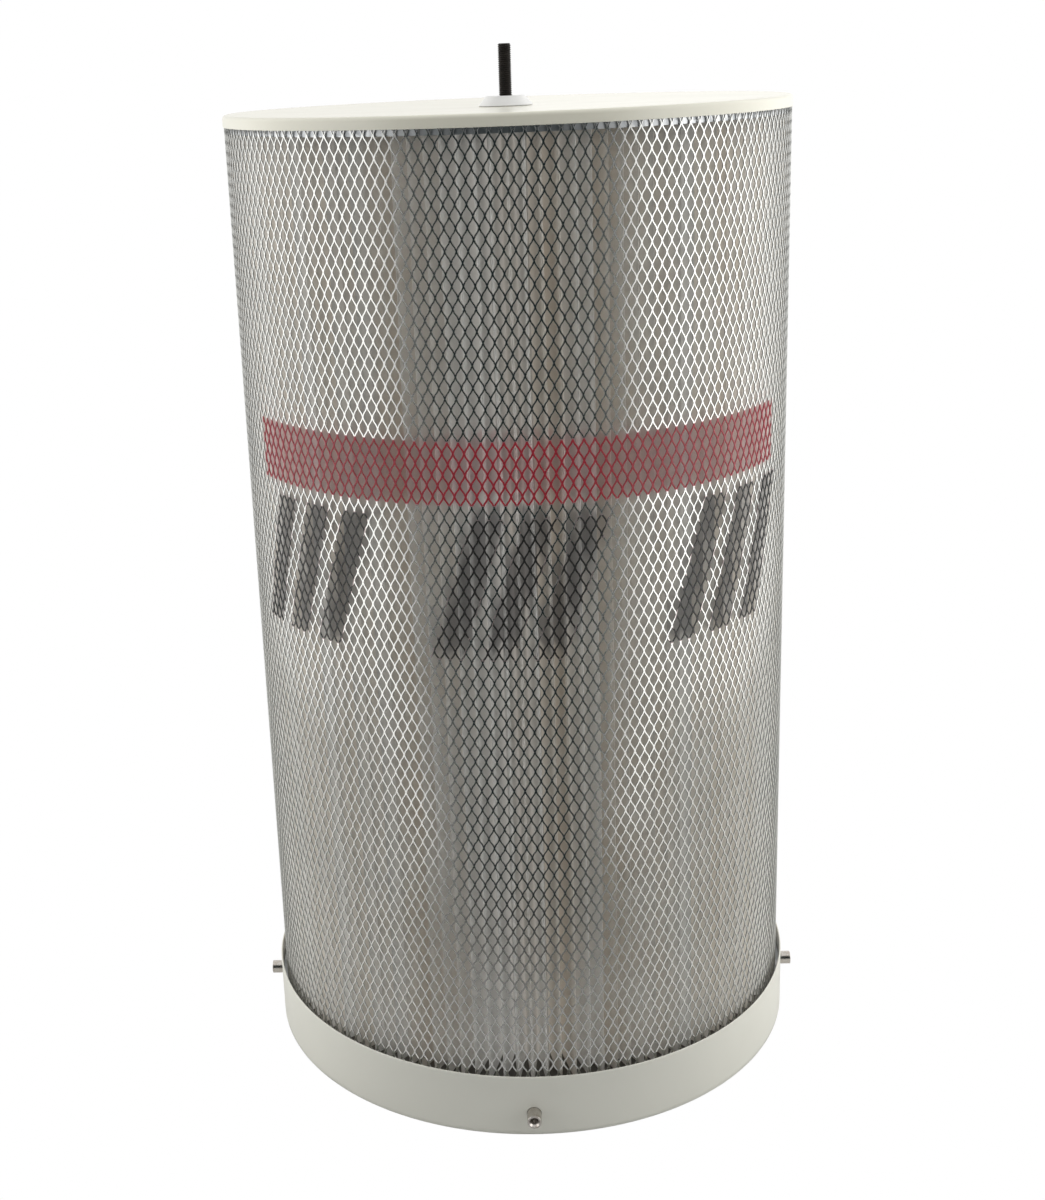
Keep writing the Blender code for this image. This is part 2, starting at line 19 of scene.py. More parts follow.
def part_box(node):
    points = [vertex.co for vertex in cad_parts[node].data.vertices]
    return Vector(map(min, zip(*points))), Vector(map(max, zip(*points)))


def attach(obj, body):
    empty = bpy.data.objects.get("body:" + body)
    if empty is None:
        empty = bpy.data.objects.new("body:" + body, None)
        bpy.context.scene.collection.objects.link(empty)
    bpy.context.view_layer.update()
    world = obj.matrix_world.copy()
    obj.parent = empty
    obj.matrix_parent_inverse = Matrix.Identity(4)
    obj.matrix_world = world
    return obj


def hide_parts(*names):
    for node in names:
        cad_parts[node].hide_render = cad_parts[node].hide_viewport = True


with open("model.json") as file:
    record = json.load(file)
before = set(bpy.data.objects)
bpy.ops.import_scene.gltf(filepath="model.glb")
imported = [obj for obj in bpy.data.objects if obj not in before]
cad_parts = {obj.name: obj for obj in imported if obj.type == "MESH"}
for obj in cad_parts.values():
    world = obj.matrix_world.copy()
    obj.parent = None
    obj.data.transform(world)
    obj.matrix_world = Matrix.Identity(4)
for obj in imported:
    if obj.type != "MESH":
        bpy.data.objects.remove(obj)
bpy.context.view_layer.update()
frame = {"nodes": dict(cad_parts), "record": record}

log = logging.getLogger("canister")

CANISTER = "canister"
CLEANER = "agitator"
TURN = 2 * math.pi

Colour = tuple[float, float, float]
Span = tuple[float, float]
Socket = bpy.types.NodeSocket


# ---- Shader maths ----
class Value:
    """A number socket of a material, with operators that add Math nodes."""

    def __init__(self, tree: "Tree", socket: Socket) -> None:
        """Keep the tree that new nodes go to, and the socket that holds the number."""
        self.tree = tree
        self.socket = socket

    def math(self, operation: str, *others: "Value | float") -> "Value":
        """Result of a Math node on this number and the others.

        Args:
            operation: the Math node's operation.
            others: the second and third numbers, as values or plain numbers.

        Returns:
            The node's result.
        """
        return self.tree.math(operation, self, *others)

    def __add__(self, other: "Value | float") -> "Value":
        """Sum."""
        return self.math("ADD", other)

    def __radd__(self, other: float) -> "Value":
        """Sum, number first."""
        return self.tree.math("ADD", other, self)

    def __sub__(self, other: "Value | float") -> "Value":
        """Difference."""
        return self.math("SUBTRACT", other)

    def __rsub__(self, other: float) -> "Value":
        """Difference, number first."""
        return self.tree.math("SUBTRACT", other, self)

    def __mul__(self, other: "Value | float") -> "Value":
        """Product."""
        return self.math("MULTIPLY", other)

    def __rmul__(self, other: float) -> "Value":
        """Product, number first."""
        return self.tree.math("MULTIPLY", other, self)

    def __truediv__(self, other: "Value | float") -> "Value":
        """Quotient."""
        return self.math("DIVIDE", other)

    def __rtruediv__(self, other: float) -> "Value":
        """Quotient, number first."""
        return self.tree.math("DIVIDE", other, self)

    def __abs__(self) -> "Value":
        """Size without sign."""
        return self.math("ABSOLUTE")

    def fraction(self) -> "Value":
        """What is left after the whole number."""
        return self.math("FRACT")

    def floor(self) -> "Value":
        """The whole number below."""
        return self.math("FLOOR")

    def rise(self, low: float, high: float) -> "Value":
        """Smooth step from 0 at low to 1 at high (or the other way round if low is above high).

        Args:
            low: where the step starts.
            high: where the step ends.

        Returns:
            A number from 0 to 1.
        """
        if low > high:
            return 1 - self.rise(high, low)
        node = self.tree.node("ShaderNodeMapRange", {"interpolation_type": "SMOOTHSTEP"},
                              {"Value": self, "From Min": low, "From Max": high})
        return Value(self.tree, node.outputs["Result"])

    def window(self, low: float, high: float, soft: float) -> "Value":
        """1 between two numbers and 0 outside, with soft ends.

        Args:
            low: lower end.
            high: upper end.
            soft: width of each soft end.

        Returns:
            A number from 0 to 1.
        """
        half = soft / 2
        return self.rise(low - half, low + half) * self.rise(high + half, high - half)


class Tree:
    """A node tree under construction, of a material or of the world."""

    def __init__(self, nodes: bpy.types.NodeTree) -> None:
        """Take over an empty tree."""
        self.tree = nodes
        self.tree.nodes.clear()

    def node(self, kind: str, settings: dict | None = None,
             inputs: dict | None = None) -> bpy.types.Node:
        """A new node, with its settings made first and its sockets filled after.

        Args:
            kind: the node's type.
            settings: properties by name.
            inputs: socket values, values or links, by name or number.

        Returns:
            The node.
        """
        node = self.tree.nodes.new(kind)
        for name, setting in (settings or {}).items():
            setattr(node, name, setting)
        for key, given in (inputs or {}).items():
            socket = node.inputs[key]
            if isinstance(given, Value):
                self.tree.links.new(given.socket, socket)
            elif isinstance(given, Socket):
                self.tree.links.new(given, socket)
            else:
                socket.default_value = given
        return node

    def math(self, operation: str, *numbers: Value | float) -> Value:
        """Result of a Math node on up to three numbers."""
        node = self.node("ShaderNodeMath", {"operation": operation}, dict(enumerate(numbers)))
        return Value(self, node.outputs[0])

    def object_place(self) -> Socket:
        """Object coordinates."""
        return self.node("ShaderNodeTexCoord").outputs["Object"]

    def split(self, vector: Socket) -> tuple[Value, Value, Value]:
        """The three numbers of a vector."""
        node = self.node("ShaderNodeSeparateXYZ", inputs={0: vector})
        x, y, z = (Value(self, output) for output in node.outputs)
        return x, y, z

    def join(self, x: Value | float, y: Value | float, z: Value | float) -> Socket:
        """A vector of three numbers."""
        return self.node("ShaderNodeCombineXYZ", inputs={0: x, 1: y, 2: z}).outputs[0]

    def stretched(self, vector: Socket, factors: object) -> Socket:
        """A vector or colour multiplied part by part, by three numbers or another vector."""
        node = self.node("ShaderNodeVectorMath", {"operation": "MULTIPLY"}, {0: vector, 1: factors})
        return node.outputs[0]

    def noise(self, place: Socket, scale: float, detail: float = 2.0,
              roughness: float = 0.5) -> Value:
        """Soft noise from 0 to 1 at so many features to the metre."""
        node = self.node("ShaderNodeTexNoise", inputs={
            "Vector": place, "Scale": scale, "Detail": detail, "Roughness": roughness})
        return Value(self, node.outputs[0])

    def cells(self, place: Socket, scale: float, toned: bool = False) -> Value:
        """Cells about scattered points: distance to the point, or a random tone for each cell."""
        given = {"Vector": place, "Scale": scale}
        node = self.node("ShaderNodeTexVoronoi", {"feature": "F1"}, given)
        if toned:
            parts = self.node("ShaderNodeSeparateColor", inputs={0: node.outputs["Color"]})
            return Value(self, parts.outputs[0])
        return Value(self, node.outputs["Distance"])

    def chance(self, number: Value) -> Value:
        """A random number from 0 to 1 for each whole number."""
        node = self.node("ShaderNodeTexWhiteNoise", {"noise_dimensions": "1D"}, {"W": number})
        return Value(self, node.outputs[0])

    def colour(self, factor: Value | float, first: Socket | Colour,
               second: Socket | Colour) -> Socket:
        """A blend of two colours, each a socket or three numbers.

        Args:
            factor: 0 for the first colour, 1 for the second.
            first: colour at 0.
            second: colour at 1.

        Returns:
            The blended colour.
        """
        sides = [(*c, 1.0) if isinstance(c, tuple) else c for c in (first, second)]
        node = self.node("ShaderNodeMix", {"data_type": "RGBA", "clamp_factor": True},
                         {0: factor, 6: sides[0], 7: sides[1]})
        return node.outputs[2]

    def shaded(self, colour: Socket, brightness: Value) -> Socket:
        """A colour made darker or lighter by a number."""
        return self.stretched(colour, self.join(brightness, brightness, brightness))

    def bump(self, height: Value, depth: float, strength: float = 1.0) -> Socket:
        """A normal from a height between 0 and 1 that stands for so many metres."""
        node = self.node("ShaderNodeBump", inputs={
            "Height": height, "Distance": depth, "Strength": strength})
        return node.outputs["Normal"]

    def around(self, vector: Socket) -> tuple[Value, Value, Value]:
        """Angle from the front in degrees, radius and height of a place.

        Args:
            vector: a place.

        Returns:
            The angle, positive towards +X, the distance from the Z axis, and Z.
        """
        x, y, z = self.split(vector)
        angle = self.math("ARCTAN2", x, 0 - y) * math.degrees(1)
        radius = self.math("SQRT", x * x + y * y)
        return angle, radius, z


@dataclass(frozen=True)
class Finish:
    """A surface finish; each kind below fills in its own nodes."""

    name: str = "finish"

    @cache
    def material(self) -> bpy.types.Material:
        """The finish as a material, made once."""
        made = bpy.data.materials.new(self.name)
        made.use_nodes = True
        tree = Tree(made.node_tree)
        shader = tree.node("ShaderNodeBsdfPrincipled", inputs=self.sockets(tree))
        tree.node("ShaderNodeOutputMaterial", inputs={"Surface": shader.outputs[0]})
        return made

    def sockets(self, tree: Tree) -> dict:
        """Values and links for the Principled shader, by socket name."""
        raise NotImplementedError


@dataclass(frozen=True)
class BakedEnamel(Finish):
    """Smooth glossy cream enamel on pressed steel: faint orange peel and a few rubbed patches."""

    name: str = "cream_enamel"
    colour: Colour = (0.80, 0.795, 0.725)
    dusty: Colour = (0.73, 0.72, 0.645)

    def sockets(self, tree: Tree) -> dict:
        """Cream colour that dulls in soft patches under a thin clear gloss."""
        place = tree.object_place()
        patches = tree.noise(place, 9.0, 4.0, 0.6)
        specks = tree.noise(place, 900.0, 2.0)
        peel = tree.noise(place, 420.0, 2.0, 0.45)
        dull = patches.rise(0.52, 0.78) * 0.45 + specks.rise(0.70, 0.80) * 0.25
        return {"Base Color": tree.colour(dull, self.colour, self.dusty),
                "Roughness": 0.24 + patches * 0.12,
                "Metallic": 0.0,
                "Coat Weight": 0.25 + patches * 0.15,
                "Coat Roughness": 0.05,
                "Normal": tree.bump(peel, 0.00004, 0.35)}


class Mark(Enum):
    """Painted areas of the sleeve: centre angle, in degrees from the front, and width."""

    LEFT = (-46.5, 28.0)
    MIDDLE = (0.0, 28.0)
    RIGHT = (47.0, 28.0)


@dataclass(frozen=True)
class Livery:
    """Where paint was sprayed over the sleeve: a band, and groups of slanted bars below it."""

    radius: float = 0.250
    band_low: float = 0.5815
    band_high: float = 0.6340
    band_left: float = -61.0
    band_right: float = 62.5
    mark_low: float = 0.4500
    mark_high: float = 0.5700
    bar_pitch: float = 0.0430
    bar_width: float = 0.0270
    slant: float = 0.32

    def band(self, tree: Tree, place: Socket, soft: float) -> Value:
        """1 inside the band, with edges as soft as asked, in metres."""
        angle, _, height = tree.around(place)
        degrees = math.degrees(soft / self.radius)
        return height.window(self.band_low, self.band_high, soft) * \
            angle.window(self.band_left, self.band_right, degrees * 2)

    def marks(self, tree: Tree, place: Socket, soft: float) -> Value:
        """1 inside the slanted bars of every group, with edges as soft as asked, in metres."""
        angle, _, height = tree.around(place)
        rows = height.window(self.mark_low, self.mark_high, soft)
        middle = (self.mark_low + self.mark_high) / 2
        painted = None
        for mark in Mark:
            centre, width = mark.value
            along = (angle - centre) * math.radians(self.radius) - (height - middle) * self.slant
            reach = math.radians(width) * self.radius / 2
            turns = (along / self.bar_pitch + 0.5).fraction()
            phase = abs((turns + 1.0).fraction() - 0.5)
            outside = (self.bar_width + soft) / 2 / self.bar_pitch
            inside = (self.bar_width - soft) / 2 / self.bar_pitch
            group = phase.rise(outside, inside) * along.window(-reach, reach, soft)
            painted = group if painted is None else painted.math("MAXIMUM", group)
        return painted * rows


@dataclass(frozen=True)
class SleeveSteel(Finish):
    """Zinc-coated expanded metal with a sprayed band and bars on its outer faces."""

    name: str = "sleeve_steel"
    steel: Colour = (0.72, 0.72, 0.70)
    dull: Colour = (0.58, 0.59, 0.58)
    red: Colour = (0.36, 0.022, 0.040)
    black: Colour = (0.020, 0.020, 0.020)
    face_depth: float = 0.00002
    side_depth: float = 0.00030
    painted_side_shade: float = 0.42
    band_edge: float = 0.0016
    mark_edge: float = 0.0020
    livery: Livery = Livery()

    def sockets(self, tree: Tree) -> dict:
        """Metal everywhere, dielectric paint where a mask says so."""
        place = tree.object_place()
        patches = tree.noise(place, 14.0, 4.0, 0.6)
        grains = tree.noise(place, 700.0, 2.0, 0.6)
        band = self.livery.band(tree, place, self.band_edge)
        marks = self.livery.marks(tree, place, self.mark_edge)
        worn = grains.rise(0.70, 0.82) * 0.5
        painted = band.math("MAXIMUM", marks) * (1 - worn)
        _, radius, _ = tree.around(place)
        outside = self.livery.radius
        strand_sides = radius.rise(outside - self.face_depth, outside - self.side_depth)
        clean = tree.colour(patches.rise(0.35, 0.75) * 0.7 + grains * 0.3, self.steel, self.dull)
        # Painted shade: the sides of the strands are darkened, as well as made rougher.
        metal = tree.shaded(clean, 1 - strand_sides * self.painted_side_shade)
        paint = tree.colour(marks.rise(0.3, 0.7), self.red, self.black)
        rubbed = tree.shaded(paint, 0.8 + grains * 0.4)
        uneven = 0.13 + patches * 0.08 + grains * 0.06
        return {"Base Color": tree.colour(painted, metal, rubbed),
                "Metallic": 1 - painted,
                "Roughness": uneven + painted * 0.22 + strand_sides * 0.35,
                "Normal": tree.bump(grains, 0.00005, 0.35)}


@dataclass(frozen=True)
class Spunbond(Finish):
    """Spunbond polyester: fine fibres, a grid of bond dots, tones that differ from fold to fold."""

    name: str = "spunbond_cloth"
    pale: Colour = (0.91, 0.90, 0.88)
    warm: Colour = (0.80, 0.74, 0.66)
    pink: Colour = (0.60, 0.32, 0.33)
    grey: Colour = (0.34, 0.33, 0.33)
    folds: int = 120
    fold_tip: float = 0.244
    fold_root: float = 0.205
    lit_sides: tuple[float, float, float] = (48.0, 132.0, 40.0)
    overspray_edge: float = 0.0060
    band_overspray: float = 0.25
    mark_overspray: float = 0.50
    livery: Livery = Livery()

    def sockets(self, tree: Tree) -> dict:
        """Off-white cloth with faint overspray behind the paint on the sleeve.

        The cloth is thin enough for light to come through. A weak emission paints that light in:
        painted light, more towards the roots of the folds, where the folds shade one another, and
        more on the two sides that face bright walls.
        """
        place = tree.object_place()
        angle, radius, _ = tree.around(place)
        fold = (angle * (self.folds / 360.0) + 0.5).floor()
        tone = tree.chance(fold) * 0.65 + tree.noise(place, 22.0, 3.0) * 0.5
        fibres = tree.noise(tree.stretched(place, (1.0, 1.0, 0.25)), 1800.0, 3.0, 0.7)
        dots = tree.cells(place, 620.0)
        cloth = tree.colour(tone.rise(0.35, 1.0) * 0.8 + fibres * 0.12, self.pale, self.warm)
        band = self.livery.band(tree, place, self.overspray_edge) * self.band_overspray
        marks = self.livery.marks(tree, place, self.overspray_edge) * self.mark_overspray
        sprayed = tree.colour(marks, tree.colour(band, cloth, self.pink), self.grey)
        # Painted light: a weak glow, stronger at the fold roots and on the two sides that face the
        # walls.
        roots = radius.rise(self.fold_tip, self.fold_root)
        painted_glow_strength = 0.02 + roots * 0.05 + abs(angle).window(*self.lit_sides) * 0.10
        painted_glow = tree.shaded(sprayed, painted_glow_strength)
        return {"Base Color": sprayed,
                "Emission Color": painted_glow,
                "Emission Strength": 1.0,
                "Roughness": 0.86 + fibres * 0.1,
                "Metallic": 0.0,
                "Normal": tree.bump(dots.rise(0.0, 0.5) * 0.5 + fibres * 0.5, 0.00012, 0.5)}


@dataclass(frozen=True)
class BlackOxide(Finish):
    """Oiled black oxide on steel, rubbed brighter where it stands out to a given radius."""

    name: str = "black_oxide"
    crest: float = 0.00585
    oxide: Colour = (0.012, 0.012, 0.013)
    oil: Colour = (0.035, 0.028, 0.022)
    rubbed: Colour = (0.20, 0.19, 0.18)

    def sockets(self, tree: Tree) -> dict:
        """Near-black metal with brown oil and bright wear on the crests of the thread."""
        place = tree.object_place()
        _, radius, _ = tree.around(place)
        patches = tree.noise(place, 160.0, 4.0, 0.65)
        grains = tree.noise(place, 2600.0, 2.0)
        wear = radius.rise(self.crest - 0.00025, self.crest + 0.00010) * patches.rise(0.45, 0.75)
        oiled = tree.colour(patches, self.oxide, self.oil)
        return {"Base Color": tree.colour(wear * 0.25, oiled, self.rubbed),
                "Metallic": 0.60,
                "Roughness": 0.46 + grains * 0.18 - wear * 0.08,
                "Normal": tree.bump(grains, 0.00003, 0.4)}


@dataclass(frozen=True)
class ZincPlate(Finish):
    """Bright zinc plate with fine turning lines and slightly yellow patches."""

    name: str = "zinc_plate"
    bright: Colour = (0.62, 0.59, 0.56)
    yellow: Colour = (0.46, 0.41, 0.36)

    def sockets(self, tree: Tree) -> dict:
        """Metal whose tone and roughness drift, with fine scratches."""
        place = tree.object_place()
        patches = tree.noise(place, 220.0, 4.0, 0.6)
        scratches = tree.noise(tree.stretched(place, (1.0, 1.0, 9.0)), 900.0, 3.0, 0.7)
        return {"Base Color": tree.colour(patches.rise(0.4, 0.8), self.bright, self.yellow),
                "Metallic": 1.0,
                "Roughness": 0.16 + scratches * 0.20,
                "Normal": tree.bump(scratches, 0.00002, 0.5)}


@dataclass(frozen=True)
class GalvanisedSheet(Finish):
    """Hot-dip zinc with its crystal spangle."""

    name: str = "galvanised_sheet"
    light: Colour = (0.66, 0.67, 0.68)
    dark: Colour = (0.42, 0.44, 0.46)

    def sockets(self, tree: Tree) -> dict:
        """Each crystal has its own tone and gloss."""
        place = tree.object_place()
        crystal = tree.cells(place, 110.0, True)
        grains = tree.noise(place, 900.0, 3.0, 0.6)
        return {"Base Color": tree.colour(crystal * 0.7 + grains * 0.3, self.light, self.dark),
                "Metallic": 1.0,
                "Roughness": 0.32 + crystal * 0.16 + grains * 0.08,
                "Normal": tree.bump(grains, 0.00003, 0.4)}


@dataclass(frozen=True)
class Moulded(Finish):
    """Moulded plastic, cast urethane or foam rubber: a fine skin over a slightly uneven tone."""

    name: str = "moulded"
    colour: Colour = (0.8, 0.8, 0.8)
    shade: Colour = (0.7, 0.7, 0.7)
    roughness: float = 0.5
    grain: float = 1500.0
    depth: float = 0.00003

    def sockets(self, tree: Tree) -> dict:
        """Tone, gloss and skin from two scales of noise."""
        place = tree.object_place()
        patches = tree.noise(place, 60.0, 3.0, 0.55)
        skin = tree.noise(place, self.grain, 3.0, 0.6)
        tone = patches.rise(0.3, 0.8) * 0.7 + skin * 0.3
        return {"Base Color": tree.colour(tone, self.colour, self.shade),
                "Metallic": 0.0,
                "Roughness": self.roughness - 0.06 + skin * 0.12,
                "Normal": tree.bump(skin, self.depth, 0.5)}


ENAMEL = BakedEnamel()
LID_ENAMEL = BakedEnamel("lid_enamel", (0.82, 0.80, 0.69), (0.75, 0.725, 0.61))
SLEEVE_STEEL = SleeveSteel()
MEDIA = Spunbond()
BLACK_OXIDE = BlackOxide()
ZINC = ZincPlate()
GALVANISED = GalvanisedSheet()
NYLON = Moulded("turned_nylon", (0.93, 0.93, 0.93), (0.85, 0.85, 0.86),
                roughness=0.40, grain=1200.0)
URETHANE = Moulded("cast_urethane", (0.130, 0.125, 0.110), (0.085, 0.080, 0.070),
                   roughness=0.45, grain=300.0, depth=0.0002)
FOAM = Moulded("foam_strip", (0.035, 0.035, 0.036), (0.018, 0.018, 0.018),
               roughness=0.88, grain=2200.0, depth=0.0003)
FLAP_PLASTIC = Moulded("moulded_flap", (0.060, 0.060, 0.065), (0.035, 0.035, 0.038),
                       roughness=0.46, grain=1600.0)


# ---- Surfaces ----
def signed_volume(points: np.ndarray, quads: np.ndarray) -> float:
    """Six times the volume inside a closed mesh: the sum of a . (b x c) over its triangles."""
    a, b, c, d = (points[quads[:, k]] for k in range(4))
    return float(np.sum(a * (np.cross(b, c) + np.cross(c, d))))


def filled(name: str, points: np.ndarray, quads: np.ndarray) -> bpy.types.Mesh:
    """A closed mesh of the points, with its faces turned outward; a repeated corner is dropped."""
    outward = quads[:, ::-1] if signed_volume(points, quads) < 0 else quads
    mesh = bpy.data.meshes.new(name)
    faces = [tuple(dict.fromkeys(face)) for face in outward.tolist()]
    mesh.from_pydata(points.tolist(), [], faces)
    return mesh


def linked(name: str, data: bpy.types.ID) -> bpy.types.Object:
    """A new object of the scene that holds the data."""
    made = bpy.data.objects.new(name, data)
    bpy.context.collection.objects.link(made)
    return made


def piece(name: str, points: np.ndarray, quads: np.ndarray, finish: Finish, body: str,
          stands_for: tuple[str, ...], crease: float) -> bpy.types.Object:
    """A closed mesh as a finished piece that rides on a body.

    Args:
        name: the piece's name.
        points: its vertices.
        quads: four vertex numbers for each face; two may be the same at a pole.
        finish: its finish.
        body: the body that it moves with.
        stands_for: solids of the frame that it replaces.
        crease: edges that turn by more degrees than this are sharp.

    Returns:
        The object.
    """
    mesh = filled(name, points, quads)
    mesh.validate()
    mesh.shade_smooth()
    mesh.set_sharp_from_angle(angle=math.radians(crease))
    mesh.materials.append(finish.material())
    made = linked(name, mesh)
    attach(made, body)
    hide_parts(*stands_for)
    log.info("%s: %d points, %d faces, rides on %s", name, len(points), len(quads), body)
    return made


def wrapped(across: int, along: int, closed: bool) -> np.ndarray:
    """Faces of a grid whose rows are rings.

    Args:
        across: points in each ring.
        along: number of rings.
        closed: whether the last ring joins the first.

    Returns:
        Four vertex numbers for each face; point k of ring r is number r * across + k.
    """
    ring = np.arange(along if closed else along - 1)[:, None]
    k = np.arange(across)[None, :]
    after, up = (k + 1) % across, (ring + 1) % along
    corners = (ring * across + k, ring * across + after, up * across + after, up * across + k)
    return np.stack(np.broadcast_arrays(*corners), -1).reshape(-1, 4)


def turned(profile: np.ndarray, facets: int) -> tuple[np.ndarray, np.ndarray]:
    """Surface of revolution about Z.

    The point for profile entry (r, z) and angle a is (r sin a, -r cos a, z). A profile that
    starts and ends on the axis closes in a pole at each end; any other is a closed loop.

    Args:
        profile: rows of radius and height.
        facets: points round the axis.

    Returns:
        Points and faces.
    """
    angle = np.arange(facets) * TURN / facets
    radius, height = profile[:, :1], profile[:, 1:]
    points = np.stack([radius * np.sin(angle), -radius * np.cos(angle), height + 0 * angle], -1)
    points = points.reshape(-1, 3)
    open_ended = profile[0, 0] == 0
    quads = wrapped(facets, len(profile), not open_ended)
    if open_ended:
        last = (len(profile) - 1) * facets
        quads = np.where(quads < facets, 0, np.where(quads >= last, last, quads))
        used, numbers = np.unique(quads, return_inverse=True)
        points, quads = points[used], numbers.reshape(quads.shape)
    return points, quads


def arc(centre: tuple[float, float], size: float, start: float, end: float,
        count: int) -> list[tuple[float, float]]:
    """Points on a circle in the (radius, height) plane, from one angle in degrees to another."""
    angles = np.radians(np.linspace(start, end, count))
    return [(centre[0] + size * math.cos(a), centre[1] + size * math.sin(a)) for a in angles]


def placed(points: np.ndarray, direction: Vector, origin: Vector) -> np.ndarray:
    """Points turned so that their Z lies along a direction, then moved to an origin."""
    turn = np.array(direction.to_track_quat("Z", "Y").to_matrix())
    return points @ turn.T + np.array(origin)


def drilled(made: bpy.types.Object, cutters: list[tuple[np.ndarray, np.ndarray]],
            crease: float) -> None:
    """Cut closed shapes out of a piece and keep the result as its mesh.

    Args:
        made: the piece.
        cutters: points and faces of each shape that is cut away.
        crease: edges that turn by more degrees than this are sharp.
    """
    helpers = []
    for points, quads in cutters:
        helper = linked("cutter", filled("cutter", points, quads))
        helpers.append(helper)
        cut = made.modifiers.new("cut", "BOOLEAN")
        cut.operation, cut.solver, cut.object = "DIFFERENCE", "EXACT", helper
    result = made.evaluated_get(bpy.context.evaluated_depsgraph_get())
    mesh = bpy.data.meshes.new_from_object(result)
    made.modifiers.clear()
    made.data = mesh
    mesh.shade_smooth()
    mesh.set_sharp_from_angle(angle=math.radians(crease))
    for helper in helpers:
        bpy.data.objects.remove(helper, do_unlink=True)


def size_of(node: str) -> tuple[float, float, float, float]:
    """Outer radius, lowest and highest point, and height of a round solid of the frame."""
    low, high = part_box(node)
    return (high.x - low.x) / 2, low.z, high.z, high.z - low.z


# ---- Canister ----
@dataclass
class Lid:
    """Pressed enamel lid with a rounded edge and a dished top, and the cone round the shaft."""

    sheet: float = 0.0007
    edge: float = 0.0035
    dish: float = 0.0022
    hole: float = 0.0090
    facets: int = 320
    cone_bore: float = 0.0062
    cone_crown: float = 0.0179
    cone_foot: float = 0.0006
    cone_round: float = 0.0008
    cone_facets: int = 96

    def top(self, radius: np.ndarray) -> np.ndarray:
        """Height of the top face: it sinks towards the centre as a parabola."""
        outer, _, high, _ = size_of("top_cap")
        return high - self.dish * (1 - (radius / (outer - self.edge)) ** 2)

    def build(self) -> None:
        """Build the lid and its cone."""
        self.build_pan()
        self.build_cone()

    def build_pan(self) -> None:
        """Turn the lid's profile: underside, inner rim, lower edge, outer rim, top."""
        outer, low, high, _ = size_of("top_cap")
        flat = outer - self.edge
        steps = np.linspace(self.hole, flat, 14)
        centre = (flat, high - self.edge)
        half = self.sheet / 2
        profile = [(r, self.top(r) - self.sheet) for r in steps[:-1]]
        profile += arc(centre, self.edge - self.sheet, 88, 0, 9)
        profile += arc((outer - half, low + half), half, 180, 360, 7)
        profile += arc(centre, self.edge, 0, 88, 11)
        profile += [(r, self.top(r)) for r in steps[-2::-1]]
        points, quads = turned(np.array(profile), self.facets)
        piece("lid", points, quads, LID_ENAMEL, CANISTER, ("top_cap",), 50)

    def build_cone(self) -> None:
        """Turn the cone: bore, seat, short foot, straight flank, small round at the top."""
        low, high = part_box("cap_hub")
        foot, tall = (high.x - low.x) / 2, high.z - low.z
        bore, crown, step, chamfer = self.cone_bore, self.cone_crown, self.cone_foot, 0.0002
        profile = [(bore, low.z), (foot - chamfer, low.z)]
        profile += [(foot, low.z + chamfer), (foot, low.z + step)]
        profile += [(foot + (crown - foot) * t, low.z + step + (tall - 2 * step) * t)
                    for t in np.linspace(0.1, 1.0, 6)]
        size = self.cone_round
        profile += arc((crown - size, high.z - size), size, 30, 90, 5)
        profile += [(bore + 2 * chamfer, high.z), (bore, high.z - 2 * chamfer)]
        points, quads = turned(np.array(profile), self.cone_facets)
        piece("lid_cone", points, quads, NYLON, CANISTER, ("cap_hub",), 35)


